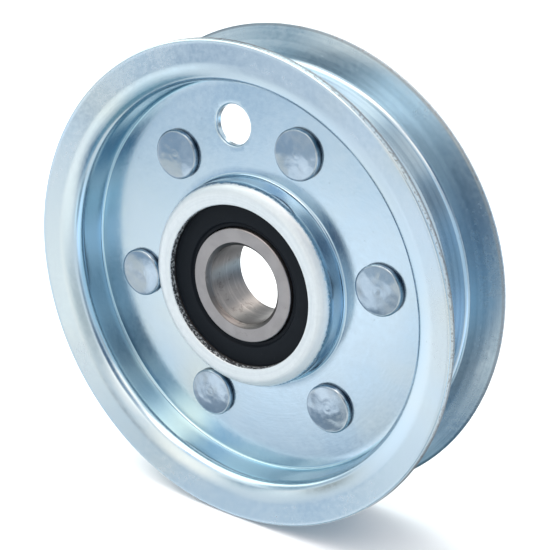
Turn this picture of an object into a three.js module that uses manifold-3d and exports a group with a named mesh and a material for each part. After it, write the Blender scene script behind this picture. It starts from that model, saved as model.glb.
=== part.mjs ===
// Flat belt idler pulley: two pressed-steel halves riveted web to web around a sealed ball bearing.
// Millimetres, +Z up. The pulley turns about +Y; the origin is the centre of the bearing.
import * as THREE from 'three';
import { mergeVertices } from 'three/addons/utils/BufferGeometryUtils.js';
import Module from 'manifold-3d';

// Pressed halves. Radii are from the axis; heights are from the seam between the two webs.
const SHEET = 1.5;               // sheet thickness
const SEAM_GAP = 0.05;           // each web stands this far off the seam plane
const FLANGE_TIP_R = 50.9;       // outer corner of the flange edge
const FLANGE_TIP_H = 11.4;
const FLANGE_LEAN = THREE.MathUtils.degToRad(13);
const RIM_IN_R = 42.4;           // inside of the rim, behind the belt face
const RIM_BEND = 2.7;            // bend from rim to flange, on the dished side
const WEB_CORNER = 0.6;          // inside corner between web and rim
const HUB_WALL_R = 22.1;
const HUB_CROWN = 2.6;           // round between hub wall and lip
const HUB_FOOT = 0.9;            // inside corner between hub wall and web
const HUB_BACK_BEND = 2.4;
const LIP_HOLE_R = 17.5;
const LIP_EDGE = 0.2;

// Ball bearing, 17 x 40 x 12.
const BORE_R = 8.5;
const BEARING_R = 20.0;
const HALF_WIDTH = 6.0;
const INNER_LAND_R = 12.25;
const OUTER_LAND_R = 16.45;
const BORE_CHAMFER = 0.85;
const INNER_CHAMFER = 0.3;
const OUTER_CHAMFER = 0.6;
const BALL_R = 3.37;
const BALL_COUNT = 8;
const PITCH_R = 14.25;
const RACE_R = 3.5;              // radius of the raceway groove
const RUN_CLEARANCE = 0.08;      // between a ball and the bottom of each groove
const SEAT_GAP = 0.1;            // between bearing and pressed halves

// Seals.
const SEAL_SEAT_R = 17.6;
const SEAL_SEAT_H = 4.4;
const SEAL_FACE_H = 5.7;
const SEAL_SKIN = 0.45;
const SEAL_OUT_R = 17.5;
const SEAL_BEAD_IN_R = 16.9;
const SEAL_BEAD_H = 4.5;
const SEAL_LIP_R = 12.45;
const SEAL_LIP_OUT_R = 13.3;
const SEAL_LIP_H = 4.9;
const SEAL_STEP = 0.2;
const SEAL_STEP_R = 13.7;
const INSERT_THICK = 0.25;
const INSERT_GAP = 0.06;

// Cage.
const CAGE_IN_R = 12.95;
const CAGE_OUT_R = 15.55;
const CAGE_SHEET = 0.5;
const POCKET_R = 3.85;
const CAGE_RIVET_R = 0.4;
const CAGE_RIVET_HEAD_R = 0.75;
const CAGE_RIVET_HEAD_H = 0.4;
const CAGE_RIVET_GAP = 0.1;

// Web rivets and the small hole.
const RIVET_COUNT = 6;
const RIVET_PITCH_R = 30.7;
const RIVET_FIRST_DEG = 9;
const RIVET_HEAD_R = 5.3;
const RIVET_HEAD_H = 1.3;
const RIVET_HEAD_EDGE = 0.45;    // height of the head's upright rim
const RIVET_SHOULDER_R = 4.24;   // where the low dome steepens towards the rim
const RIVET_SHOULDER_H = 1.01;
const RIVET_CROWN_R = 2.4;
const RIVET_SHANK_R = 2.85;
const RIVET_HOLE_R = 3.0;
const RIVET_SEAT_GAP = 0.05;
const HOLE_PITCH_R = 32.5;
const HOLE_DEG = 99;
const HOLE_R = { front: 4.2, rear: 5.2 };

// Facets round a full turn.
const RING_SEGMENTS = 48;
const HOLE_SEGMENTS = 20;
const RIVET_SEGMENTS = 16;
const SMALL_SEGMENTS = 6;
const CAGE_SEGMENTS = 24;
const BALL_FACETS = [10, 8];
const POCKET_FACETS = [8, 6];

// Steps along an arc of a section.
const BEND_STEPS = 3;
const CORNER_STEPS = 2;
const RACE_STEPS = 4;

const WELD_DISTANCE = 1e-4;      // corners closer than this are one corner
const DRILL_LENGTH = 24;         // longer than the part is wide

const zinc = { color: 0xb9cddd, roughness: 0.35, metalness: 0.9 };
const rivetZinc = { color: 0xa9b4c8, roughness: 0.42, metalness: 0.85 };
const bearingSteel = { color: 0xa8a2a2, roughness: 0.4, metalness: 0.95 };
const ballSteel = { color: 0xd0d2d4, roughness: 0.08, metalness: 1.0 };
const cageSteel = { color: 0x8f9296, roughness: 0.45, metalness: 0.9 };
const rubber = { color: 0x1b1f25, roughness: 0.75, metalness: 0.0 };
const insertSteel = { color: 0x6f7276, roughness: 0.6, metalness: 0.9 };

const wasm = await Module();
wasm.setup();

const group = new THREE.Group();
const FACES = { front: -1, rear: 1 };

function addMesh(name, geometry, finish) {
  const mesh = new THREE.Mesh(geometry, new THREE.MeshStandardMaterial(finish));
  mesh.name = name;
  group.add(mesh);
  return mesh;
}

// Points of an arc in the (radius, height) plane, both ends included.
function arc(centreR, centreH, radius, fromDeg, toDeg, steps) {
  return Array.from({ length: steps + 1 }, (_, i) => {
    const angle = THREE.MathUtils.degToRad(fromDeg + ((toDeg - fromDeg) * i) / steps);
    return [centreR + radius * Math.cos(angle), centreH + radius * Math.sin(angle)];
  });
}

// Revolves a closed (radius, height) outline about Y; side -1 puts its height along -Y.
function turned(outline, side = 1, segments = RING_SEGMENTS) {
  const points = outline.map(([r, h]) => new THREE.Vector2(r, side * h));
  if (THREE.ShapeUtils.area(points) < 0) points.reverse();
  points.push(points[0].clone());
  return new THREE.LatheGeometry(points, segments);
}

// Revolves an open outline that starts and ends on the axis.
function turnedSolid(outline, segments) {
  const points = outline.map(([r, h]) => new THREE.Vector2(r, h));
  return new THREE.LatheGeometry(points, segments);
}

function toSolid(geometry) {
  const bare = geometry.clone();
  bare.deleteAttribute('normal');
  bare.deleteAttribute('uv');
  const merged = mergeVertices(bare, WELD_DISTANCE);
  return new wasm.Manifold(new wasm.Mesh({
    numProp: 3,
    vertProperties: new Float32Array(merged.attributes.position.array),
    triVerts: new Uint32Array(merged.index.array),
  }));
}

function toGeometry(solid) {
  const mesh = solid.getMesh();
  const geometry = new THREE.BufferGeometry();
  geometry.setAttribute('position', new THREE.BufferAttribute(mesh.vertProperties, 3));
  geometry.setIndex(new THREE.BufferAttribute(mesh.triVerts, 1));
  geometry.computeVertexNormals();
  return geometry;
}

// A point on a circle about Y, at an angle from +X towards +Z.
function onCircle(radius, degrees) {
  const angle = THREE.MathUtils.degToRad(degrees);
  return [radius * Math.cos(angle), radius * Math.sin(angle)];
}

// A cutter along Y through the whole part.
function drill(radius, [x, z], segments) {
  const cutter = new THREE.CylinderGeometry(radius, radius, DRILL_LENGTH, segments);
  cutter.translate(x, 0, z);
  return toSolid(cutter);
}

// Section of one pressed half: lip, hub, web, rim and leaning flange in one thickness of sheet.
function shellOutline() {
  const lipBack = HALF_WIDTH + SEAT_GAP;
  const lipFace = lipBack + SHEET;
  const pocketR = BEARING_R + SEAT_GAP;
  const backBendR = pocketR + HUB_BACK_BEND;
  const crownR = HUB_WALL_R - HUB_CROWN;
  const crownH = lipFace - HUB_CROWN;
  const bendR = RIM_IN_R + RIM_BEND;
  const leanDeg = THREE.MathUtils.radToDeg(FLANGE_LEAN);
  const faceR = bendR - RIM_BEND * Math.sin(FLANGE_LEAN);
  const faceH = FLANGE_TIP_H - (FLANGE_TIP_R - faceR) * Math.tan(FLANGE_LEAN);
  const bendH = faceH - RIM_BEND * Math.cos(FLANGE_LEAN);
  const backEdge = [
    FLANGE_TIP_R + SHEET * Math.sin(FLANGE_LEAN),
    FLANGE_TIP_H - SHEET * Math.cos(FLANGE_LEAN),
  ];
  const cornerR = RIM_IN_R - WEB_CORNER;
  const cornerH = SHEET + WEB_CORNER;
  return [
    [LIP_HOLE_R, lipBack],
    [LIP_HOLE_R, lipFace - LIP_EDGE],
    [LIP_HOLE_R + LIP_EDGE, lipFace],
    ...arc(crownR, crownH, HUB_CROWN, 90, 0, BEND_STEPS),
    ...arc(HUB_WALL_R + HUB_FOOT, SHEET + HUB_FOOT, HUB_FOOT, 180, 270, CORNER_STEPS),
    ...arc(cornerR, cornerH, WEB_CORNER, 270, 360, CORNER_STEPS),
    ...arc(bendR, bendH, RIM_BEND, 180, 90 + leanDeg, BEND_STEPS),
    [FLANGE_TIP_R, FLANGE_TIP_H],
    backEdge,
    ...arc(bendR, bendH, RIM_BEND - SHEET, 90 + leanDeg, 180, CORNER_STEPS),
    ...arc(cornerR, cornerH + SEAM_GAP, WEB_CORNER + SHEET, 0, -90, BEND_STEPS),
    ...arc(backBendR, SEAM_GAP + HUB_BACK_BEND, HUB_BACK_BEND, 270, 180, CORNER_STEPS),
    [pocketR, HALF_WIDTH - OUTER_CHAMFER],
    [BEARING_R - OUTER_CHAMFER, lipBack],
  ];
}

function rivetPlace(index) {
  return onCircle(RIVET_PITCH_R, RIVET_FIRST_DEG + (360 / RIVET_COUNT) * index);
}

function addShells() {
  const rivetHoles = Array.from({ length: RIVET_COUNT }, (_, i) =>
    drill(RIVET_HOLE_R, rivetPlace(i), RIVET_SEGMENTS));
  for (const [face, side] of Object.entries(FACES)) {
    let shell = toSolid(turned(shellOutline(), side));
    for (const hole of rivetHoles) shell = shell.subtract(hole);
    shell = shell.subtract(drill(HOLE_R[face], onCircle(HOLE_PITCH_R, HOLE_DEG), HOLE_SEGMENTS));
    addMesh(`pulley_half_${face}`, toGeometry(shell), zinc);
  }
}

// A solid rivet with the same low domed head on both sides.
function rivetGeometry() {
  const seat = SHEET + RIVET_SEAT_GAP;
  const dome = [
    [RIVET_SHANK_R, seat],
    [RIVET_HEAD_R, seat],
    [RIVET_HEAD_R, seat + RIVET_HEAD_EDGE],
    [RIVET_SHOULDER_R, seat + RIVET_SHOULDER_H],
    [RIVET_CROWN_R, seat + RIVET_HEAD_H],
    [0, seat + RIVET_HEAD_H],
  ];
  const mirrored = dome.map(([r, h]) => [r, -h]).reverse();
  return turnedSolid([...mirrored, ...dome], RIVET_SEGMENTS);
}

function addRivets() {
  const geometry = rivetGeometry();
  for (let i = 0; i < RIVET_COUNT; i += 1) {
    const [x, z] = rivetPlace(i);
    addMesh(`web_rivet_${i + 1}`, geometry, rivetZinc).position.set(x, 0, z);
  }
}

function addRings() {
  const innerBottom = PITCH_R - BALL_R - RUN_CLEARANCE;
  const outerBottom = PITCH_R + BALL_R + RUN_CLEARANCE;
  const innerCentre = innerBottom + RACE_R;
  const outerCentre = outerBottom - RACE_R;
  const innerSweep = THREE.MathUtils.radToDeg(Math.acos((innerCentre - INNER_LAND_R) / RACE_R));
  const outerSweep = THREE.MathUtils.radToDeg(Math.acos((OUTER_LAND_R - outerCentre) / RACE_R));
  const inner = [
    [BORE_R, -HALF_WIDTH + BORE_CHAMFER],
    [BORE_R + BORE_CHAMFER, -HALF_WIDTH],
    [INNER_LAND_R - INNER_CHAMFER, -HALF_WIDTH],
    [INNER_LAND_R, -HALF_WIDTH + INNER_CHAMFER],
    ...arc(innerCentre, 0, RACE_R, 180 + innerSweep, 180 - innerSweep, RACE_STEPS),
    [INNER_LAND_R, HALF_WIDTH - INNER_CHAMFER],
    [INNER_LAND_R - INNER_CHAMFER, HALF_WIDTH],
    [BORE_R + BORE_CHAMFER, HALF_WIDTH],
    [BORE_R, HALF_WIDTH - BORE_CHAMFER],
  ];
  const outer = [
    [BEARING_R, -HALF_WIDTH + OUTER_CHAMFER],
    [BEARING_R, HALF_WIDTH - OUTER_CHAMFER],
    [BEARING_R - OUTER_CHAMFER, HALF_WIDTH],
    [SEAL_SEAT_R, HALF_WIDTH],
    [SEAL_SEAT_R, SEAL_SEAT_H],
    [OUTER_LAND_R, SEAL_SEAT_H],
    ...arc(outerCentre, 0, RACE_R, outerSweep, -outerSweep, RACE_STEPS),
    [OUTER_LAND_R, -SEAL_SEAT_H],
    [SEAL_SEAT_R, -SEAL_SEAT_H],
    [SEAL_SEAT_R, -HALF_WIDTH],
    [BEARING_R - OUTER_CHAMFER, -HALF_WIDTH],
  ];
  addMesh('bearing_inner_ring', turned(inner), bearingSteel);
  addMesh('bearing_outer_ring', turned(outer), bearingSteel);
}

function addSeals() {
  const skinBack = SEAL_FACE_H - SEAL_SKIN;
  const insertFace = skinBack - INSERT_GAP;
  const seal = [
    [SEAL_LIP_R, SEAL_LIP_H],
    [SEAL_LIP_OUT_R, SEAL_LIP_H],
    [SEAL_LIP_OUT_R, skinBack],
    [SEAL_BEAD_IN_R, skinBack],
    [SEAL_BEAD_IN_R, SEAL_BEAD_H],
    [SEAL_OUT_R, SEAL_BEAD_H],
    [SEAL_OUT_R, SEAL_FACE_H],
    [SEAL_STEP_R, SEAL_FACE_H],
    [SEAL_STEP_R, SEAL_FACE_H - SEAL_STEP],
    [SEAL_LIP_R, SEAL_FACE_H - SEAL_STEP],
  ];
  const insert = [
    [SEAL_LIP_OUT_R + INSERT_GAP, insertFace - INSERT_THICK],
    [SEAL_BEAD_IN_R - INSERT_GAP, insertFace - INSERT_THICK],
    [SEAL_BEAD_IN_R - INSERT_GAP, insertFace],
    [SEAL_LIP_OUT_R + INSERT_GAP, insertFace],
  ];
  for (const [face, side] of Object.entries(FACES)) {
    addMesh(`seal_${face}`, turned(seal, side), rubber);
    addMesh(`seal_insert_${face}`, turned(insert, side), insertSteel);
  }
}

function addBalls() {
  const geometry = new THREE.SphereGeometry(BALL_R, ...BALL_FACETS);
  for (let i = 0; i < BALL_COUNT; i += 1) {
    const [x, z] = onCircle(PITCH_R, (360 / BALL_COUNT) * i);
    addMesh(`ball_${i + 1}`, geometry, ballSteel).position.set(x, 0, z);
  }
}

function band(lowH, highH, side) {
  return toSolid(turned([
    [CAGE_IN_R, lowH],
    [CAGE_OUT_R, lowH],
    [CAGE_OUT_R, highH],
    [CAGE_IN_R, highH],
  ], side, CAGE_SEGMENTS));
}

// Each half of the cage is a flat ribbon that domes over every ball.
function addCage() {
  const domeR = POCKET_R + CAGE_SHEET;
  const ballAt = (i) => onCircle(PITCH_R, (360 / BALL_COUNT) * i);
  const rivetAt = (i) => onCircle(PITCH_R, (360 / BALL_COUNT) * (i + 0.5));
  const sphereAt = (radius, [x, z]) => {
    const sphere = new THREE.SphereGeometry(radius, ...POCKET_FACETS);
    return toSolid(sphere.translate(x, 0, z));
  };
  for (const [face, side] of Object.entries(FACES)) {
    const tall = band(SEAM_GAP, 2 * domeR, side);
    let half = band(SEAM_GAP, CAGE_SHEET, side);
    for (let i = 0; i < BALL_COUNT; i += 1) {
      half = half.add(sphereAt(domeR, ballAt(i)).intersect(tall));
    }
    for (let i = 0; i < BALL_COUNT; i += 1) {
      half = half.subtract(sphereAt(POCKET_R, ballAt(i)));
      half = half.subtract(drill(CAGE_RIVET_R + CAGE_RIVET_GAP, rivetAt(i), SMALL_SEGMENTS));
    }
    addMesh(`cage_${face}`, toGeometry(half), cageSteel);
  }
  const seat = CAGE_SHEET + SEAM_GAP;
  const top = seat + CAGE_RIVET_HEAD_H;
  const rivet = turnedSolid([
    [0, -top],
    [CAGE_RIVET_HEAD_R, -top],
    [CAGE_RIVET_HEAD_R, -seat],
    [CAGE_RIVET_R, -seat],
    [CAGE_RIVET_R, seat],
    [CAGE_RIVET_HEAD_R, seat],
    [CAGE_RIVET_HEAD_R, top],
    [0, top],
  ], SMALL_SEGMENTS);
  for (let i = 0; i < BALL_COUNT; i += 1) {
    const [x, z] = rivetAt(i);
    addMesh(`cage_rivet_${i + 1}`, rivet, cageSteel).position.set(x, 0, z);
  }
}

addShells();
addRivets();
addRings();
addSeals();
addBalls();
addCage();

export default group;
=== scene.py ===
"""Flat belt idler pulley: zinc-plated pressed halves, web rivets and a sealed ball bearing."""

import math

import bmesh
import bpy
from mathutils import Matrix, Vector, noise

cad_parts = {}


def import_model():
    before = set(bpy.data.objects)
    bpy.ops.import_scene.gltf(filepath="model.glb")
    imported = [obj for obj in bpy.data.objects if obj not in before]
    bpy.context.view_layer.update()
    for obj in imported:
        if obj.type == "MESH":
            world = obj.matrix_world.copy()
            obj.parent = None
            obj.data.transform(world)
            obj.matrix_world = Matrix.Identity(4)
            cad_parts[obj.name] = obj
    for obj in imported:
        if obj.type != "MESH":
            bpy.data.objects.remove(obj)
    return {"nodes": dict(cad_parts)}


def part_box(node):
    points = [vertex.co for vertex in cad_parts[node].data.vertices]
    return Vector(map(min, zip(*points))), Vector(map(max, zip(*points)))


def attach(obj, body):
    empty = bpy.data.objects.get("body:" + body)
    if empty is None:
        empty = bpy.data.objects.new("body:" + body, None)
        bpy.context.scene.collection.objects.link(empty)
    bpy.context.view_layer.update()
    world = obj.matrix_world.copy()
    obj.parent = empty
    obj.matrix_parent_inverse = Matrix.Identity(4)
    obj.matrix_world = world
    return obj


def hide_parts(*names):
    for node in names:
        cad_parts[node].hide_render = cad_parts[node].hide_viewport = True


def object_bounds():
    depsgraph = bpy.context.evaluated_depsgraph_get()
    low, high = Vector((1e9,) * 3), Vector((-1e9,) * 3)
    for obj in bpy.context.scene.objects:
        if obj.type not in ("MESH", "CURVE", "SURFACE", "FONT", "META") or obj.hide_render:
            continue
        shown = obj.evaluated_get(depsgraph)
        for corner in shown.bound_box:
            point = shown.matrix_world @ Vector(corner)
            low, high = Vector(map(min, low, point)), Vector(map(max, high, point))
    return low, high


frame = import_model()
cad_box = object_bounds()

MM = 0.001
SIDES = {"front": -1.0, "rear": 1.0}

# ---------------------------------------------------------------- sizes, in millimetres

half_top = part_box("pulley_half_rear")[1]
inner_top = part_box("bearing_inner_ring")[1]
outer_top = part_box("bearing_outer_ring")[1]

# bearing
BORE_R = 8.5
LAND_R = inner_top.x / MM
HALF_WIDTH = inner_top.y / MM
BEARING_R = outer_top.x / MM
SEAT_GAP = 0.1

# pressed halves
SHEET = 1.5
LEAN = math.radians(13.0)
FLANGE_R = half_top.x / MM - SHEET * math.sin(LEAN)
FLANGE_H = half_top.y / MM
RIM_IN_R = 42.4
RIM_BEND = 2.6
EASE_BEND = 19.0
EASE = math.radians(12.0)
CREASE = math.radians(3.5)
GROOVE_BEND = 1.2
WEB_CORNER = 0.6
HUB_WALL_R = 22.1
HUB_CROWN = 2.6
HUB_FOOT = 0.8
LIP_HOLE_R = 17.5
LIP_BACK = HALF_WIDTH + SEAT_GAP
LIP_FACE = LIP_BACK + SHEET
SEAM_GAP = 0.05

# web rivets and the small hole in the web
RIVETS = 6
RIVET_HEAD_R = 5.3
RIVET_SHANK_R = 2.85
HOLE_PITCH_R = 32.5
HOLE_ANGLE = math.radians(99.0)
HOLE_R = {"front": 4.2, "rear": 5.2}
HOLE_ROLL = 0.45


# ---------------------------------------------------------------- mesh helpers

def arc(centre_r, centre_h, radius, start, end, steps):
    """Points of an arc in the (radius, height) plane, angles in degrees, ends included."""
    points = []
    for i in range(steps + 1):
        angle = math.radians(start + (end - start) * i / steps)
        points.append((centre_r + radius * math.cos(angle), centre_h + radius * math.sin(angle)))
    return points


def line(start, end, steps):
    """Points between two corners of an outline, both left out."""
    return [
        (start[0] + (end[0] - start[0]) * i / steps, start[1] + (end[1] - start[1]) * i / steps)
        for i in range(1, steps)
    ]


def turn(segments):
    """Angles of the corners of a full turn."""
    return [2 * math.pi * k / segments for k in range(segments)]


def skin(mesh, rings):
    """Quads between each ring of vertices and the next."""
    for here, there in zip(rings, rings[1:]):
        for i in range(len(here)):
            j = (i + 1) % len(here)
            mesh.faces.new((here[i], here[j], there[j], there[i]))


def finished(mesh, name):
    """Mesh data from a closed bmesh, its normals facing out."""
    bmesh.ops.recalc_face_normals(mesh, faces=mesh.faces)
    data = bpy.data.meshes.new(name)
    mesh.to_mesh(data)
    mesh.free()
    return data


def new_object(name, mesh, material):
    piece = bpy.data.objects.new(name, mesh)
    bpy.context.scene.collection.objects.link(piece)
    mesh.materials.append(material)
    return piece


def smooth(mesh, angle=38.0):
    """Smooth shading, with creases sharper than the angle kept."""
    mesh.polygons.foreach_set("use_smooth", [True] * len(mesh.polygons))
    mesh.set_sharp_from_angle(angle=math.radians(angle))


def revolve(outline, side=1.0, segments=240, shift=None):
    """A closed (radius, height) outline turned about Y; shift(r, h, theta) moves each point."""
    mesh = bmesh.new()
    rings = []
    for theta in turn(segments):
        ring = []
        for r, h in outline:
            if shift:
                r, h = shift(r, h, theta)
            co = (r * math.cos(theta) * MM, side * h * MM, r * math.sin(theta) * MM)
            ring.append(mesh.verts.new(co))
        rings.append(ring)
    skin(mesh, rings + rings[:1])
    return finished(mesh, "revolved")


def hole_cutter(radius, x, z, side):
    """A round cutter along Y through the sheet, flared where it meets the web's outer face."""
    past_sheet = 1.0
    profile = [(radius, -past_sheet), (radius, SHEET - HOLE_ROLL)]
    profile += arc(radius + HOLE_ROLL, SHEET - HOLE_ROLL, HOLE_ROLL, 180, 90, 6)[1:]
    profile += [(radius + HOLE_ROLL, SHEET + past_sheet)]
    mesh = bmesh.new()
    rings = []
    for r, h in profile:
        ring = []
        for theta in turn(96):
            co = (x + r * math.cos(theta), side * h, z + r * math.sin(theta))
            ring.append(mesh.verts.new(Vector(co) * MM))
        rings.append(ring)
    skin(mesh, rings)
    mesh.faces.new(rings[0])
    mesh.faces.new(rings[-1])
    return finished(mesh, "cutter")


def drill(piece, radius, x, z, side):
    """Punches a round hole with a rolled edge through the web of a pressed half."""
    data = hole_cutter(radius, x, z, side)
    tool = bpy.data.objects.new("cutter", data)
    bpy.context.scene.collection.objects.link(tool)
    cut = piece.modifiers.new("hole", "BOOLEAN")
    cut.operation = "DIFFERENCE"
    cut.solver = "EXACT"
    cut.object = tool
    bpy.context.view_layer.update()
    graph = bpy.context.evaluated_depsgraph_get()
    result = bpy.data.meshes.new_from_object(piece.evaluated_get(graph))
    piece.modifiers.remove(cut)
    piece.data = result
    bpy.data.objects.remove(tool)
    bpy.data.meshes.remove(data)


# ---------------------------------------------------------------- material helpers

class Nodes:
    """A material's node tree with short calls for the nodes used here.

    A colour is a (red, green, blue) tuple or another node's output.
    """

    def __init__(self, name):
        self.material = bpy.data.materials.new(name)
        self.material.use_nodes = True
        self.tree = self.material.node_tree
        self.tree.nodes.clear()
        self.shader = self.add("ShaderNodeBsdfPrincipled")
        output = self.add("ShaderNodeOutputMaterial")
        self.link(self.shader.outputs["BSDF"], output.inputs["Surface"])
        self.place = self.add("ShaderNodeTexCoord").outputs["Object"]

    def add(self, kind, **settings):
        node = self.tree.nodes.new(kind)
        for key, value in settings.items():
            setattr(node, key, value)
        return node

    def link(self, source, target):
        self.tree.links.new(source, target)

    def value(self, socket, source):
        """Sets an input from a number, a colour or another node's output."""
        if isinstance(source, bpy.types.NodeSocket):
            self.link(source, socket)
        elif isinstance(source, tuple):
            socket.default_value = (*source, 1.0)
        else:
            socket.default_value = source

    def math(self, operation, a, b=0.0, c=0.0):
        node = self.add("ShaderNodeMath", operation=operation)
        for socket, source in zip(node.inputs, (a, b, c)):
            self.value(socket, source)
        return node.outputs[0]

    def times(self, a, b):
        return self.math("MULTIPLY", a, b)

    def plus(self, base, amount, weight):
        """base + amount * weight."""
        return self.math("MULTIPLY_ADD", amount, weight, base)

    def stretch(self, scale):
        """The place on the piece, scaled along each axis."""
        node = self.add("ShaderNodeVectorMath", operation="MULTIPLY")
        self.link(self.place, node.inputs[0])
        node.inputs[1].default_value = scale
        return node.outputs[0]

    def noise(self, scale, detail=4.0, rough=0.55, vector=None, distortion=0.0):
        node = self.add("ShaderNodeTexNoise")
        self.link(vector or self.place, node.inputs["Vector"])
        node.inputs["Scale"].default_value = scale
        node.inputs["Detail"].default_value = detail
        node.inputs["Roughness"].default_value = rough
        node.inputs["Distortion"].default_value = distortion
        return node.outputs["Fac"]

    def ramp(self, factor, low, high, to_low=0.0, to_high=1.0):
        """A soft step from to_low, where the factor is low, to to_high, where it is high."""
        node = self.add("ShaderNodeMapRange", interpolation_type="SMOOTHSTEP")
        self.value(node.inputs["Value"], factor)
        node.inputs["From Min"].default_value = low
        node.inputs["From Max"].default_value = high
        node.inputs["To Min"].default_value = to_low
        node.inputs["To Max"].default_value = to_high
        return node.outputs["Result"]

    def above(self, length, low, high):
        """0 where a length is under low and 1 where it is over high, both in millimetres."""
        return self.ramp(length, low * MM, high * MM)

    def below(self, length, low, high):
        """1 where a length is under low and 0 where it is over high, both in millimetres."""
        return self.ramp(length, low * MM, high * MM, 1.0, 0.0)

    def specks(self, scale, size):
        """Small round spots."""
        node = self.add("ShaderNodeTexVoronoi")
        self.link(self.place, node.inputs["Vector"])
        node.inputs["Scale"].default_value = scale
        return self.ramp(node.outputs["Distance"], 0.0, size, 1.0, 0.0)

    def mix(self, factor, a, b):
        node = self.add("ShaderNodeMix", data_type="RGBA")
        self.value(node.inputs["Factor"], factor)
        self.value(node.inputs["A"], a)
        self.value(node.inputs["B"], b)
        return node.outputs["Result"]

    def tint(self, color, mask, strength, shade):
        """A shade laid over the colour, at the strength given where the mask is 1."""
        return self.mix(self.times(mask, strength), color, shade)

    def polar(self):
        """(distance from the Y axis, height along Y), both in metres."""
        split = self.add("ShaderNodeSeparateXYZ")
        self.link(self.place, split.inputs[0])
        square = self.times(split.outputs["X"], split.outputs["X"])
        total = self.plus(square, split.outputs["Z"], split.outputs["Z"])
        return self.math("SQRT", total), split.outputs["Y"]

    def rings(self, scale_r, scale_h, scale_round):
        """A vector that stays nearly constant round the axis, for turned or drawn marks."""
        radius, height = self.polar()
        join = self.add("ShaderNodeCombineXYZ")
        self.link(self.times(radius, scale_r), join.inputs["X"])
        self.link(self.times(height, scale_h), join.inputs["Y"])
        around = self.stretch((scale_round, 0.0, scale_round))
        total = self.add("ShaderNodeVectorMath", operation="ADD")
        self.link(join.outputs[0], total.inputs[0])
        self.link(around, total.inputs[1])
        return total.outputs[0]

    def bump(self, height, distance, strength=1.0, normal=None):
        node = self.add("ShaderNodeBump")
        node.inputs["Strength"].default_value = strength
        node.inputs["Distance"].default_value = distance
        self.value(node.inputs["Height"], height)
        if normal:
            self.link(normal, node.inputs["Normal"])
        return node.outputs["Normal"]

    def finish(self, color, roughness, normal, metallic=1.0):
        self.value(self.shader.inputs["Base Color"], color)
        self.value(self.shader.inputs["Roughness"], roughness)
        self.link(normal, self.shader.inputs["Normal"])
        self.shader.inputs["Metallic"].default_value = metallic
        return self.material


# ---------------------------------------------------------------- zinc plate, layer by layer

def plated(nodes, clouds, mottle):
    """Pale blue, clouded, with faint warm, cool and yellowish places, mottle and rare specks."""
    warm = nodes.ramp(nodes.noise(27.0, 2.0, vector=nodes.stretch((1.0, 1.0, 1.3))), 0.50, 0.72)
    cool = nodes.ramp(nodes.noise(31.0, 2.0, vector=nodes.stretch((1.2, 1.0, 0.9))), 0.52, 0.72)
    yellow = nodes.ramp(nodes.noise(24.0, 2.0, vector=nodes.stretch((0.9, 1.0, 1.1))), 0.54, 0.74)
    rare = nodes.ramp(nodes.noise(120.0, 1.0), 0.56, 0.62)
    specks = nodes.specks(420.0, 0.10)
    color = nodes.mix(clouds, (0.465, 0.575, 0.65), (0.50, 0.60, 0.67))
    color = nodes.tint(color, warm, 0.6, (0.55, 0.60, 0.585))
    color = nodes.tint(color, cool, 0.5, (0.41, 0.56, 0.68))
    color = nodes.tint(color, yellow, 0.45, (0.60, 0.61, 0.51))
    color = nodes.tint(color, mottle, 0.10, (0.66, 0.72, 0.78))
    return nodes.tint(color, nodes.times(specks, rare), 0.5, (0.25, 0.29, 0.34))


def handled(nodes, color, radius, scuff):
    """The flange is handled most: hazy patches and scuffs."""
    flange = nodes.above(radius, RIM_IN_R + 3.1, RIM_IN_R + 4.6)
    haze = nodes.ramp(nodes.noise(60.0, 3.0, distortion=0.3), 0.34, 0.78)
    hazy = nodes.times(flange, nodes.plus(nodes.times(haze, 0.6), scuff, 0.22))
    return nodes.tint(color, hazy, 0.28, (0.62, 0.665, 0.70)), hazy


def crowned(nodes, color, radius, crown, scuff):
    """The hub crown is whiter, with brushed and scuffed places, and painted shade greys its
    shoulder.
    """
    shoulder_shade = nodes.times(crown, nodes.above(radius, HUB_WALL_R - 2.7, HUB_WALL_R - 1.3))
    brushed = nodes.noise(1.0, vector=nodes.rings(1500.0, 1500.0, 90.0))
    brushed = nodes.times(crown, nodes.ramp(brushed, 0.42, 0.70))
    color = nodes.tint(color, crown, 0.9, (0.60, 0.645, 0.665))
    color = nodes.tint(color, brushed, 0.35, (0.43, 0.49, 0.53))
    # painted shade greys the rounded shoulder
    color = nodes.tint(color, shoulder_shade, 0.15, (0.40, 0.46, 0.50))
    return nodes.tint(color, nodes.times(crown, scuff), 0.35, (0.45, 0.50, 0.53))


def drawn_walls(nodes, color, radius, crown):
    """Painted shade makes the drawn walls of hub and rim darker and bluer."""
    hub_wall_shade = nodes.times(
        nodes.above(radius, HUB_WALL_R - 0.6, HUB_WALL_R - 0.3),
        nodes.below(radius, HUB_WALL_R + 0.5, HUB_WALL_R + 1.3),
    )
    hub_wall_shade = nodes.times(hub_wall_shade, nodes.math("SUBTRACT", 1.0, crown))
    rim_wall_shade = nodes.times(
        nodes.above(radius, RIM_IN_R - 0.8, RIM_IN_R - 0.5),
        nodes.below(radius, RIM_IN_R + 0.2, RIM_IN_R + 0.7),
    )
    # painted shade darkens and blues the hub wall and the inside of the rim wall
    color = nodes.tint(color, hub_wall_shade, 0.5, (0.30, 0.46, 0.60))
    return nodes.tint(color, rim_wall_shade, 0.7, (0.37, 0.56, 0.66))


def groove_mask(nodes, radius, height):
    """1 on the belt's side of the sheet: the outside of the rim and the back of the flange."""
    inward = nodes.math("SUBTRACT", FLANGE_R * MM, radius)
    face_height = nodes.plus(FLANGE_H * MM, inward, -math.tan(LEAN))
    depth = nodes.math("SUBTRACT", face_height, nodes.math("ABSOLUTE", height))
    return nodes.times(
        nodes.above(depth, 0.8, 1.1),
        nodes.above(radius, RIM_IN_R + 0.7, RIM_IN_R + 1.0),
    )


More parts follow.
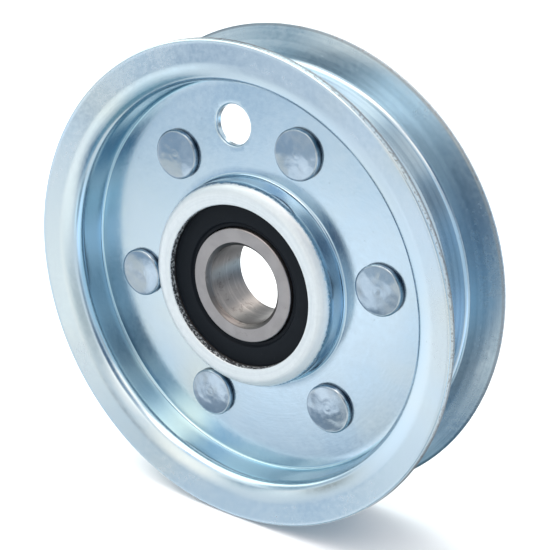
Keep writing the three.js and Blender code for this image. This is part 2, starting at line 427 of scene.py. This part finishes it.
def grooved(nodes, color, radius, groove, streaks):
    """Painted shade in the groove, streaks drawn round by the belt, and a dark burr at its edge.
    """
    groove_shade = nodes.times(groove, nodes.above(radius, RIM_IN_R + 2.1, RIM_IN_R + 2.8))
    worn = nodes.times(groove, nodes.ramp(streaks, 0.40, 0.62))
    burr = nodes.times(groove_shade, nodes.above(radius, FLANGE_R - 0.4, FLANGE_R))
    # painted shade over the belt face and the back of the flange
    color = nodes.tint(color, groove_shade, 0.8, (0.39, 0.49, 0.565))
    color = nodes.tint(color, worn, 0.35, (0.22, 0.32, 0.40))
    return nodes.tint(color, burr, 0.6, (0.16, 0.18, 0.20))


def sheared(nodes, color, radius, outward):
    """Torn steel on the sheared edges: the flange's rim and the hole in the lip."""
    grit = nodes.noise(2100.0, 3.0)
    rim = nodes.above(radius, FLANGE_R + 0.04, FLANGE_R + 0.10)
    torn = nodes.times(rim, nodes.ramp(grit, 0.50, 0.62))
    lip = nodes.times(nodes.below(radius, LIP_HOLE_R + 0.01, LIP_HOLE_R + 0.10), outward)
    color = nodes.tint(color, torn, 0.6, (0.20, 0.185, 0.18))
    return nodes.mix(nodes.times(lip, nodes.ramp(grit, 0.40, 0.52)), color, (0.05, 0.055, 0.065))


def zinc_plate():
    """Bright zinc with a blue passivate over pressed sheet."""
    nodes = Nodes("zinc_plate")
    radius, height = nodes.polar()
    clouds = nodes.ramp(nodes.noise(38.0, 3.0, distortion=0.4), 0.30, 0.72)
    mottle = nodes.ramp(nodes.noise(900.0, 5.0, 0.7), 0.3, 0.7)
    scuff = nodes.ramp(nodes.noise(900.0, 6.0, 0.8), 0.36, 0.72)
    streaks = nodes.noise(1.0, 3.0, vector=nodes.rings(900.0, 900.0, 9.0))
    drawn = nodes.noise(1.0, vector=nodes.rings(2600.0, 2600.0, 60.0))
    groove = groove_mask(nodes, radius, height)

    # the crown's mask ends at the hub wall in a ragged line
    ragged = nodes.plus(radius, nodes.noise(1300.0, rough=0.7), 0.9 * MM)
    outward = nodes.above(nodes.math("ABSOLUTE", height), LIP_FACE - 3.0, LIP_FACE - 1.8)
    crown = nodes.times(nodes.below(ragged, HUB_WALL_R - 0.3, HUB_WALL_R + 0.3), outward)

    color = plated(nodes, clouds, mottle)
    color, hazy = handled(nodes, color, radius, scuff)
    color = crowned(nodes, color, radius, crown, scuff)
    color = drawn_walls(nodes, color, radius, crown)
    color = grooved(nodes, color, radius, groove, streaks)
    color = sheared(nodes, color, radius, outward)

    rough = nodes.plus(0.15, mottle, 0.06)
    rough = nodes.plus(rough, clouds, 0.04)
    rough = nodes.plus(rough, hazy, 0.12)
    rough = nodes.plus(rough, crown, 0.22)

    normal = nodes.bump(nodes.noise(1500.0, 3.0), 0.005 * MM)
    normal = nodes.bump(nodes.noise(260.0, 2.0), 0.012 * MM, normal=normal)
    normal = nodes.bump(drawn, 0.003 * MM, normal=normal)
    normal = nodes.bump(nodes.times(streaks, groove), 0.012 * MM, normal=normal)

    # the white crown is partly matt
    nodes.link(nodes.plus(1.0, crown, -0.55), nodes.shader.inputs["Metallic"])
    return nodes.finish(color, rough, normal)


# ---------------------------------------------------------------- the other materials

def zinc_rivet():
    """The same plate over a formed rivet head: greyer, blotched and pitted, painted shade at the
    skirt.
    """
    nodes = Nodes("zinc_rivet")
    height = nodes.polar()[1]
    blotch = nodes.ramp(nodes.noise(170.0, distortion=0.4), 0.36, 0.70)
    grain = nodes.noise(1300.0, 5.0, 0.7)
    skirt_shade = nodes.below(nodes.math("ABSOLUTE", height), SHEET + 0.55, SHEET + 0.78)
    color = nodes.mix(blotch, (0.31, 0.38, 0.44), (0.37, 0.435, 0.49))
    color = nodes.tint(color, nodes.specks(900.0, 0.16), 0.3, (0.26, 0.30, 0.35))
    # painted shade at the foot of the head, where it meets the web
    color = nodes.tint(color, skirt_shade, 0.85, (0.06, 0.10, 0.15))
    rough = nodes.plus(0.07, grain, 0.12)
    normal = nodes.bump(grain, 0.008 * MM)
    normal = nodes.bump(blotch, 0.008 * MM, normal=normal)
    return nodes.finish(color, rough, normal)


def ground_steel():
    """Ground bearing steel: warm grey, satin, with fine marks round the axis and faint stains."""
    nodes = Nodes("ground_steel")
    radius = nodes.polar()[0]
    grit = nodes.noise(1.0, 5.0, 0.65, nodes.rings(9000.0, 9000.0, 160.0))
    cloud = nodes.ramp(nodes.noise(210.0, distortion=0.5), 0.35, 0.7)
    stain = nodes.ramp(nodes.noise(330.0, 6.0, 0.7, distortion=1.2), 0.60, 0.70)
    color = nodes.mix(cloud, (0.315, 0.30, 0.30), (0.36, 0.342, 0.342))
    color = nodes.tint(color, stain, 0.35, (0.15, 0.135, 0.13))
    color = nodes.tint(color, nodes.specks(1100.0, 0.14), 0.3, (0.12, 0.11, 0.11))

    # painted shade darkens the bore and, more, its chamfer; smears round the axis and drops of oil
    bore = nodes.below(radius, BORE_R + 0.82, BORE_R + 0.86)
    chamfer = nodes.times(bore, nodes.above(radius, BORE_R + 0.06, BORE_R + 0.12))
    around = nodes.noise(1.0, 5.0, 0.65, nodes.rings(0.0, 900.0, 70.0), 0.6)
    smear = nodes.times(bore, nodes.ramp(around, 0.50, 0.66))
    oil = nodes.times(bore, nodes.ramp(nodes.noise(420.0, 5.0, 0.7, distortion=0.8), 0.56, 0.66))
    # painted shade in the bore and, darker, on its chamfer
    color = nodes.tint(color, bore, 0.6, (0.150, 0.147, 0.142))
    color = nodes.tint(color, chamfer, 0.75, (0.10, 0.098, 0.098))
    color = nodes.tint(color, smear, 0.4, (0.42, 0.39, 0.38))
    color = nodes.tint(color, oil, 0.55, (0.10, 0.09, 0.088))

    rough = nodes.plus(0.32, grit, 0.18)
    rough = nodes.plus(rough, bore, -0.08)
    rough = nodes.plus(rough, chamfer, 0.16)
    return nodes.finish(color, rough, nodes.bump(grit, 0.005 * MM))


def nitrile():
    """Moulded black rubber with a fine matt grain and a little pale dust."""
    nodes = Nodes("nitrile")
    grain = nodes.noise(2600.0, rough=0.7)
    cloud = nodes.noise(180.0, 3.0)
    dust = nodes.times(nodes.specks(1300.0, 0.07), nodes.ramp(nodes.noise(400.0), 0.55, 0.65))
    color = nodes.mix(cloud, (0.004, 0.006, 0.009), (0.007, 0.010, 0.014))
    color = nodes.mix(dust, color, (0.20, 0.21, 0.22))
    rough = nodes.plus(0.5, grain, 0.2)
    nodes.shader.inputs["Specular IOR Level"].default_value = 0.10
    return nodes.finish(color, rough, nodes.bump(grain, 0.02 * MM), metallic=0.0)


def polished_ball():
    """Polished bearing balls with a faint haze."""
    nodes = Nodes("polished_ball")
    haze = nodes.noise(900.0, 3.0)
    color = nodes.mix(haze, (0.66, 0.67, 0.69), (0.72, 0.73, 0.74))
    rough = nodes.plus(0.05, haze, 0.06)
    return nodes.finish(color, rough, nodes.bump(haze, 0.002 * MM))


def pressed_strip():
    """Dull pressed strip steel, for the cage and the seal inserts."""
    nodes = Nodes("pressed_strip")
    grain = nodes.noise(1400.0, 5.0, 0.7)
    cloud = nodes.noise(160.0, 3.0)
    color = nodes.mix(cloud, (0.30, 0.30, 0.31), (0.44, 0.44, 0.45))
    rough = nodes.plus(0.35, grain, 0.2)
    return nodes.finish(color, rough, nodes.bump(grain, 0.01 * MM))


ZINC = zinc_plate()
RIVET = zinc_rivet()
STEEL = ground_steel()
RUBBER = nitrile()
BALL = polished_ball()
STRIP = pressed_strip()


# ---------------------------------------------------------------- pressed halves

def bend(wall_r, radius, depth, ease_radius=0.0, ease=0.0, crease=0.0):
    """Outline of a bend from a rim wall to the flange plane, depth below the outer face.

    The last part before the flange, from ease to crease radians off it, has the wider ease_radius.
    """
    swing = math.pi / 2 + LEAN + ease
    step = radius - ease_radius if ease else 0.0
    centre = Vector((wall_r + radius, 0.0))
    wide = centre + step * Vector((math.cos(swing), math.sin(swing)))
    reach = ease_radius if ease else radius
    end = wide + reach * Vector((-math.sin(LEAN + crease), math.cos(LEAN + crease)))
    plane_h = FLANGE_H - depth / math.cos(LEAN) - (FLANGE_R - end.x) * math.tan(LEAN)
    lift = plane_h - end.y
    points = arc(centre.x, centre.y + lift, radius, 180, math.degrees(swing), 14)
    if ease:
        last = 90 + math.degrees(LEAN + crease)
        points += arc(wide.x, wide.y + lift, ease_radius, math.degrees(swing), last, 8)[1:]
    return points


def hub_outline():
    """The visible side from the hole in the lip over the crown to the foot of the hub."""
    lip_edge, lip_round = 0.1, 0.35
    points = [(LIP_HOLE_R, LIP_BACK + lip_edge)]
    points += arc(LIP_HOLE_R + lip_round, LIP_FACE - lip_round, lip_round, 180, 90, 5)
    points += arc(HUB_WALL_R - HUB_CROWN, LIP_FACE - HUB_CROWN, HUB_CROWN, 90, 0, 16)
    return points + arc(HUB_WALL_R + HUB_FOOT, SHEET + HUB_FOOT, HUB_FOOT, 180, 270, 8)


def flange_outline(front_end, back_end):
    """The flange from the end of its front bend round the sheared edge to the back bend."""
    roll_over, burr = 0.35, 0.12
    lean = math.degrees(LEAN)
    along = Vector((math.cos(LEAN), math.sin(LEAN)))
    through = Vector((math.sin(LEAN), -math.cos(LEAN)))
    tip = Vector((FLANGE_R, FLANGE_H))
    tip_round = tip - roll_over * along + roll_over * through
    tip_back = tip + SHEET * through
    burr_round = tip_back - burr * along - burr * through
    points = line(front_end, tuple(tip - roll_over * along), 8)
    points += arc(tip_round.x, tip_round.y, roll_over, 90 + lean, lean, 5)
    points += line(tuple(tip + roll_over * through), tuple(tip_back - burr * through), 5)
    points += arc(burr_round.x, burr_round.y, burr, lean, lean - 90, 3)
    return points + line(tuple(tip_back - burr * along), back_end, 12)


def half_outline():
    """Section of a pressed half, from the lip round the visible side and back along the other."""
    front_bend = bend(RIM_IN_R, RIM_BEND, 0.0, EASE_BEND, EASE, CREASE)
    back_bend = bend(RIM_IN_R + SHEET, GROOVE_BEND, SHEET)
    corner_r, corner_h = RIM_IN_R - WEB_CORNER, SHEET + WEB_CORNER
    pocket_r = BEARING_R + SEAT_GAP
    pocket_bend, pocket_chamfer = 2.4, 0.7
    points = hub_outline()
    points += line((HUB_WALL_R + HUB_FOOT, SHEET), (corner_r, SHEET), 14)
    points += arc(corner_r, corner_h, WEB_CORNER, 270, 360, 8)
    points += line((RIM_IN_R, corner_h), front_bend[0], 4)
    points += front_bend
    points += flange_outline(front_bend[-1], back_bend[-1])
    points += list(reversed(back_bend))
    points += arc(corner_r, corner_h + SEAM_GAP, WEB_CORNER + SHEET, 0, -90, 12)
    points += line((corner_r, SEAM_GAP), (pocket_r + pocket_bend, SEAM_GAP), 6)
    points += arc(pocket_r + pocket_bend, SEAM_GAP + pocket_bend, pocket_bend, 270, 180, 6)
    return points + [(pocket_r, LIP_BACK - pocket_chamfer), (pocket_r - pocket_chamfer, LIP_BACK)]


def sheared_edge(r, h, theta):
    """Moves a point of the flange: a slight wobble along Y, and a rippled, torn edge."""
    warp, warp_pace = 0.10, 2.1
    ripple, ripple_pace = 0.015, 38
    tear, tear_pace, tear_at, tear_reach = 0.03, 34, 0.62, 0.3
    edge_band = 0.05
    x, z = math.cos(theta), math.sin(theta)
    far = max(0.0, (r - RIM_IN_R) / (FLANGE_R - RIM_IN_R))
    h += warp * far * noise.noise(Vector((warp_pace * x, warp_pace * z, 0.4)))
    if r > FLANGE_R - edge_band:
        wave = noise.noise(Vector((ripple_pace * x, ripple_pace * z, 1.0)))
        rag = noise.noise(Vector((tear_pace * x, tear_pace * z, 3 * h)))
        across = (FLANGE_H - h) / SHEET
        torn = max(0.0, 1.0 - abs(across - tear_at) / tear_reach)
        r += ripple * wave - tear * torn * abs(rag)
    return r, h


def pressed_half(face):
    """One half of the pulley, with the small round hole through its web."""
    side = SIDES[face]
    data = revolve(half_outline(), side, 360, sheared_edge)
    piece = new_object(f"pressed_half_{face}", data, ZINC)
    x, z = HOLE_PITCH_R * math.cos(HOLE_ANGLE), HOLE_PITCH_R * math.sin(HOLE_ANGLE)
    drill(piece, HOLE_R[face], x, z, side)
    smooth(piece.data)
    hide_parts(f"pulley_half_{face}")
    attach(piece, "pulley")


# ---------------------------------------------------------------- rivets

def rivet_outline():
    """One head from the shank out to its rim and up its low dome, almost to the crest."""
    seat, skirt_top, crest = SHEET + 0.05, SHEET + 0.67, SHEET + 1.30
    under_chamfer, under_step, rounding = 0.3, 0.12, 0.5
    steps = 26
    head = [
        (RIVET_SHANK_R, seat),
        (RIVET_HEAD_R - under_chamfer, seat),
        (RIVET_HEAD_R, seat + under_step),
    ]
    head += arc(RIVET_HEAD_R - rounding, skirt_top, rounding, 0, 74, 8)
    rim_r, rim_h = head[-1]
    for i in range(1, steps):
        t = i / steps
        head.append((rim_r * (1 - t), rim_h + (crest - rim_h) * (1 - (1 - t) ** 2)))
    return head


def dent(co, side, index):
    """Moves a point on a head's top as the forming tool left it: uneven, with faint rings."""
    broad_height, broad_pace = 0.10, 0.22
    local_height, local_pace = 0.02, 0.7
    ring_height, ring_pace, ring_reach, off_centre = 0.006, 6.5, 2.2, 0.8
    dome_from, dome_fade = SHEET + 0.6, 0.3
    seed = Vector((index * 7.3, side * 3.1, index * 1.7))
    place = Vector((co.x / MM, co.z / MM, 0.0))
    broad = noise.noise(place * broad_pace + seed)
    local = noise.noise(place * local_pace + seed * 2)
    top = max(0.0, min(1.0, (abs(co.y) / MM - dome_from) / dome_fade))
    middle = off_centre * Vector((noise.noise(seed), noise.noise(seed * 3), 0.0))
    off = (place - middle).length
    spun = math.sin(off * ring_pace) * max(0.0, 1.0 - off / ring_reach)
    co.y += side * MM * top * (broad_height * broad + local_height * local + ring_height * spun)


def rivet(index):
    """A headed rivet through both webs, with the same head on each side."""
    low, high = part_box(f"web_rivet_{index}")
    centre = (low + high) / 2
    pole_rise = 0.01
    head = rivet_outline()
    mesh = bmesh.new()
    rings = []
    for side, outline in ((-1.0, list(reversed(head))), (1.0, head)):
        for r, h in outline:
            ring = []
            for theta in turn(72):
                co = Vector((r * math.cos(theta), side * h, r * math.sin(theta))) * MM
                dent(co, side, index)
                ring.append(mesh.verts.new(co + centre))
            rings.append(ring)
    skin(mesh, rings)
    for ring, side in ((rings[0], -1.0), (rings[-1], 1.0)):
        co = Vector((0.0, side * (head[-1][1] + pole_rise) * MM, 0.0))
        dent(co, side, index)
        pole = mesh.verts.new(co + centre)
        for here, there in zip(ring, ring[1:] + ring[:1]):
            mesh.faces.new((here, there, pole))
    data = finished(mesh, "rivet")
    smooth(data)
    piece = new_object(f"rivet_{index}", data, RIVET)
    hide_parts(f"web_rivet_{index}")
    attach(piece, "pulley")


# ---------------------------------------------------------------- bearing

def seal(face):
    """Rubber seal: a flat field, a rounded step down to a narrow lip, and a bead at the rim."""
    lip_r, floor_end_r, field_start_r, rim_r = LAND_R + 0.18, 13.1, 13.65, 17.5
    back_h, lip_side_h, floor_h, field_h = 4.9, 5.05, 5.22, 5.72
    lip_round, step_round = 0.2, 0.28
    insert_in_r, insert_out_r, insert_h, bead_h = 13.3, 16.9, 5.25, 4.5
    points = [(lip_r, back_h), (lip_r, lip_side_h)]
    points += arc(lip_r + lip_round, lip_side_h, lip_round, 180, 90, 3)[1:]
    points += [(floor_end_r, floor_h)]
    points += arc(field_start_r, field_h - step_round, step_round, 170, 90, 5)
    points += line((field_start_r, field_h), (rim_r, field_h), 5)
    points += [(rim_r, field_h), (rim_r, bead_h), (insert_out_r, bead_h)]
    points += [(insert_out_r, insert_h), (insert_in_r, insert_h), (insert_in_r, back_h)]
    data = revolve(points, SIDES[face])
    smooth(data)
    piece = new_object(f"rubber_seal_{face}", data, RUBBER)
    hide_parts(f"seal_{face}")
    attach(piece, "pulley")


def inner_ring():
    """Bearing inner ring: chamfered bore, rounded outer edges and the groove for the balls."""
    chamfer, foot_drop, foot_round, face_round, edge_round = 0.85, 0.1, 0.25, 0.12, 0.3
    race_r, race_bottom = 3.5, 10.8
    race_centre = race_bottom + race_r
    sweep = math.degrees(math.acos((race_centre - LAND_R) / race_r))
    foot_h = HALF_WIDTH - chamfer - foot_drop
    face = arc(BORE_R + foot_round, foot_h, foot_round, 180, 140, 3)
    face += arc(BORE_R + chamfer, HALF_WIDTH - face_round, face_round, 130, 90, 3)
    face += arc(LAND_R - edge_round, HALF_WIDTH - edge_round, edge_round, 90, 0, 6)
    groove = arc(race_centre, 0, race_r, 180 - sweep, 180 + sweep, 18)
    mirror = [(r, -h) for r, h in reversed(face)]
    data = revolve(face + groove + mirror)
    smooth(data, 24.0)
    piece = new_object("ground_inner_ring", data, STEEL)
    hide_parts("bearing_inner_ring")
    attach(piece, "inner_ring")


def dress(prefix, material):
    """Gives CAD nodes whose shape is kept a finished material."""
    for name, node in frame["nodes"].items():
        if name.startswith(prefix):
            node.data.materials.clear()
            node.data.materials.append(material)


# ---------------------------------------------------------------- floor, light and camera

def floor():
    """A wide pale sheet under the part, which the metal does not mirror."""
    mesh = bmesh.new()
    bmesh.ops.create_grid(mesh, x_segments=8, y_segments=8, size=6.0)
    data = bpy.data.meshes.new("floor")
    mesh.to_mesh(data)
    mesh.free()
    nodes = Nodes("floor")
    paper = nodes.noise(60.0, 3.0)
    color = nodes.mix(paper, (0.80, 0.83, 0.86), (0.82, 0.85, 0.88))
    grain = nodes.bump(paper, 0.1 * MM, 0.2)
    piece = new_object("floor", data, nodes.finish(color, 0.6, grain, metallic=0.0))
    piece.location.z = cad_box[0][2]
    piece.visible_glossy = False


def direction(azimuth, elevation):
    """Unit vector; azimuth 0 looks out of the front face, 90 towards +X."""
    a, e = math.radians(azimuth), math.radians(elevation)
    return Vector((math.sin(a) * math.cos(e), -math.cos(a) * math.cos(e), math.sin(e)))


TENT_WHITE = (1.10, 1.12, 1.14, 1)

# Soft places in the tent, so that the plate shows them where the photo is darker, bluer or
# brighter. They were typed and changed, guided by measured mirror directions and
# brightness in the photo. Each lies over the ones before it. A row holds azimuth and elevation,
# how many degrees round there the colour is full, how many until it ends, and the colour.
TENT_PLACES = (
    (-100, 47, 10, 60, (2.40, 2.55, 2.45, 1)),
    (-95, -24, 18, 45, (1.26, 1.34, 1.42, 1)),
    (75, 8, 10, 50, (0.74, 0.92, 1.08, 1)),
    (66, 27, 4, 12, (0.72, 0.66, 0.66, 1)),
    (62, -32, 8, 24, (1.25, 1.50, 1.80, 1)),
    (152, -8, 7, 26, (0.42, 0.68, 0.94, 1)),
    (149, -23, 4, 11, (1.05, 1.50, 1.75, 1)),
    (158, 6, 4, 11, (0.22, 0.30, 0.40, 1)),
    (178, -46, 8, 24, (0.40, 0.42, 0.44, 1)),
    (138, -1, 3, 13, (0.33, 0.34, 0.36, 1)),
    (154, -36, 3, 10, (0.66, 0.68, 0.70, 1)),
    (-175, 30, 6, 18, (4.10, 3.80, 3.50, 1)),
    (153, 38, 3, 13, (0.85, 0.92, 1.00, 1)),
    (-148, 28, 8, 24, (0.56, 0.58, 0.60, 1)),
    (8, -50, 6, 15, (0.24, 0.46, 0.62, 1)),
    (-3, -41, 6, 10, (0.12, 0.26, 0.40, 1)),
    (-14, -48, 2, 6, (0.85, 1.08, 1.15, 1)),
    (42, -40, 5, 15, (0.38, 0.52, 0.60, 1)),
    (28, -31, 3, 10, (1.20, 1.42, 1.52, 1)),
    (-13, 61, 12, 30, (3.60, 3.10, 2.80, 1)),
    (54, 47, 3, 16, (2.40, 1.95, 1.70, 1)),
    (-20, 44, 4, 13, (0.72, 0.98, 1.25, 1)),
    (-20, 19, 5, 14, (1.66, 1.58, 1.46, 1)),
    (-23, 9, 3, 8, (1.95, 1.75, 1.55, 1)),
    (2, 13, 5, 12, (2.05, 1.85, 1.66, 1)),
    (-6, 5, 2, 6, (1.75, 1.55, 1.42, 1)),
    (-62, 24, 6, 16, (0.48, 0.62, 0.70, 1)),
    (-50, 14, 3, 9, (0.70, 0.80, 0.86, 1)),
    (-72, 9, 4, 12, (0.54, 0.66, 0.76, 1)),
    (-54, 1, 2, 7, (0.42, 0.42, 0.36, 1)),
    (-43, 6, 2, 6, (1.50, 1.52, 1.46, 1)),
    (-36, 13, 3, 7, (0.34, 0.52, 0.62, 1)),
    (-48, 8, 1, 5, (1.70, 1.56, 1.46, 1)),
    (-64, -23, 6, 18, (1.46, 1.52, 1.60, 1)),
    (-69, -35, 3, 9, (1.12, 1.18, 1.26, 1)),
    (-50, -32, 3, 9, (0.76, 0.84, 0.96, 1)),
    (-57, -37, 2, 7, (0.74, 0.80, 0.90, 1)),
    (-38, -31, 3, 8, (0.42, 0.54, 0.68, 1)),
    (-30, -28, 3, 7, (0.34, 0.44, 0.55, 1)),
    (-66, -42, 2, 5, (1.30, 1.34, 1.34, 1)),
    (-42, -41, 2, 5, (1.60, 1.68, 1.70, 1)),
    (-32, -39, 2, 6, (1.65, 1.68, 1.66, 1)),
    (-22, -36, 2, 6, (1.70, 1.70, 1.62, 1)),
    (-13, -29, 3, 8, (1.75, 1.66, 1.54, 1)),
    (-4, -26, 3, 8, (1.65, 1.58, 1.46, 1)),
    (-28, -63, 16, 21, (0.24, 0.42, 0.52, 1)),
    (0, -8, 3, 12, (0.72, 0.76, 0.75, 1)),
    (-27, -4, 2, 7, (0.58, 0.74, 0.90, 1)),
    (-14, -15, 4, 9, (1.66, 1.54, 1.38, 1)),
    (-21, -16, 2, 6, (1.62, 1.54, 1.42, 1)),
    (-17, -4, 2, 6, (0.50, 0.54, 0.56, 1)),
    (-41, -12, 3, 10, (0.58, 0.74, 0.92, 1)),
    (-34, -22, 3, 8, (1.62, 1.70, 1.80, 1)),
    (-29, -14, 3, 6, (0.72, 0.86, 1.00, 1)),
    (30, 20, 4, 23, (0.10, 0.18, 0.28, 1)),
    (23, 33, 3, 11, (0.32, 0.48, 0.64, 1)),
    (36, 38, 2, 8, (0.95, 0.95, 0.95, 1)),
    (41, -2, 5, 14, (0.44, 0.54, 0.62, 1)),
    (-43, -19, 2, 5, (1.28, 1.27, 1.21, 1)),
    (-31, -47, 2, 6, (0.50, 0.72, 0.82, 1)),
    (17, -58, 3, 9, (0.32, 0.50, 0.62, 1)),
)


def world():
    """A white tent with soft places that the plate mirrors."""
    sky = bpy.data.worlds.new("tent")
    sky.use_nodes = True
    tree = sky.node_tree
    place = tree.nodes.new("ShaderNodeTexCoord").outputs["Generated"]
    color = None
    for azimuth, elevation, full, end, shade in TENT_PLACES:
        dot = tree.nodes.new("ShaderNodeVectorMath")
        dot.operation = "DOT_PRODUCT"
        tree.links.new(place, dot.inputs[0])
        dot.inputs[1].default_value = direction(azimuth, elevation)
        fade = tree.nodes.new("ShaderNodeMapRange")
        fade.interpolation_type = "SMOOTHSTEP"
        tree.links.new(dot.outputs["Value"], fade.inputs["Value"])
        fade.inputs["From Min"].default_value = math.cos(math.radians(end))
        fade.inputs["From Max"].default_value = math.cos(math.radians(full))
        mix = tree.nodes.new("ShaderNodeMix")
        mix.data_type = "RGBA"
        tree.links.new(fade.outputs["Result"], mix.inputs["Factor"])
        if color:
            tree.links.new(color, mix.inputs["A"])
        else:
            mix.inputs["A"].default_value = TENT_WHITE
        mix.inputs["B"].default_value = shade
        color = mix.outputs["Result"]
    background = tree.nodes["Background"]
    tree.links.new(color, background.inputs["Color"])
    background.inputs["Strength"].default_value = 1.0
    bpy.context.scene.world = sky


def overhead_light():
    """A soft square light above and a little to the front left, aimed at the bearing."""
    light = bpy.data.lights.new("overhead", "AREA")
    light.shape = "SQUARE"
    light.size = 0.6
    light.energy = 2.4
    lamp = bpy.data.objects.new("overhead", light)
    lamp.location = (-0.15, -0.05, 0.55)
    lamp.rotation_euler = (-lamp.location).to_track_quat("-Z", "Y").to_euler()
    lamp.visible_glossy = False
    bpy.context.scene.collection.objects.link(lamp)


def camera():
    """An 84 mm lens about 27 cm from the bearing, above and to the right of the axis.

    Its numbers were fitted to the circles of the pulley in the photo.
    """
    azimuth, elevation, roll = 35.42, 20.89, math.radians(0.1)
    distance, aim_right, aim_up = 0.2662, 0.00346, 0.00054
    back = direction(azimuth, elevation)
    level = Vector((math.cos(math.radians(azimuth)), math.sin(math.radians(azimuth)), 0.0))
    upright = back.cross(level)
    right = level * math.cos(roll) + upright * math.sin(roll)
    up = upright * math.cos(roll) - level * math.sin(roll)
    lens = bpy.data.cameras.new("camera")
    lens.sensor_width = 36.0
    lens.lens = 83.7
    lens.clip_start = 0.01
    view = bpy.data.objects.new("camera", lens)
    axes = Matrix((right, up, back)).transposed().to_4x4()
    place = back * distance + right * aim_right + up * aim_up
    view.matrix_world = Matrix.Translation(place) @ axes
    bpy.context.scene.collection.objects.link(view)
    bpy.context.scene.camera = view


# ---------------------------------------------------------------- the object

for face in SIDES:
    pressed_half(face)
    seal(face)
for number in range(1, RIVETS + 1):
    rivet(number)
inner_ring()
dress("bearing_outer_ring", STEEL)
dress("ball_", BALL)
dress("cage_", STRIP)
dress("seal_insert_", STRIP)

floor()
world()
overhead_light()
camera()
bpy.context.scene.view_settings.view_transform = "Standard"
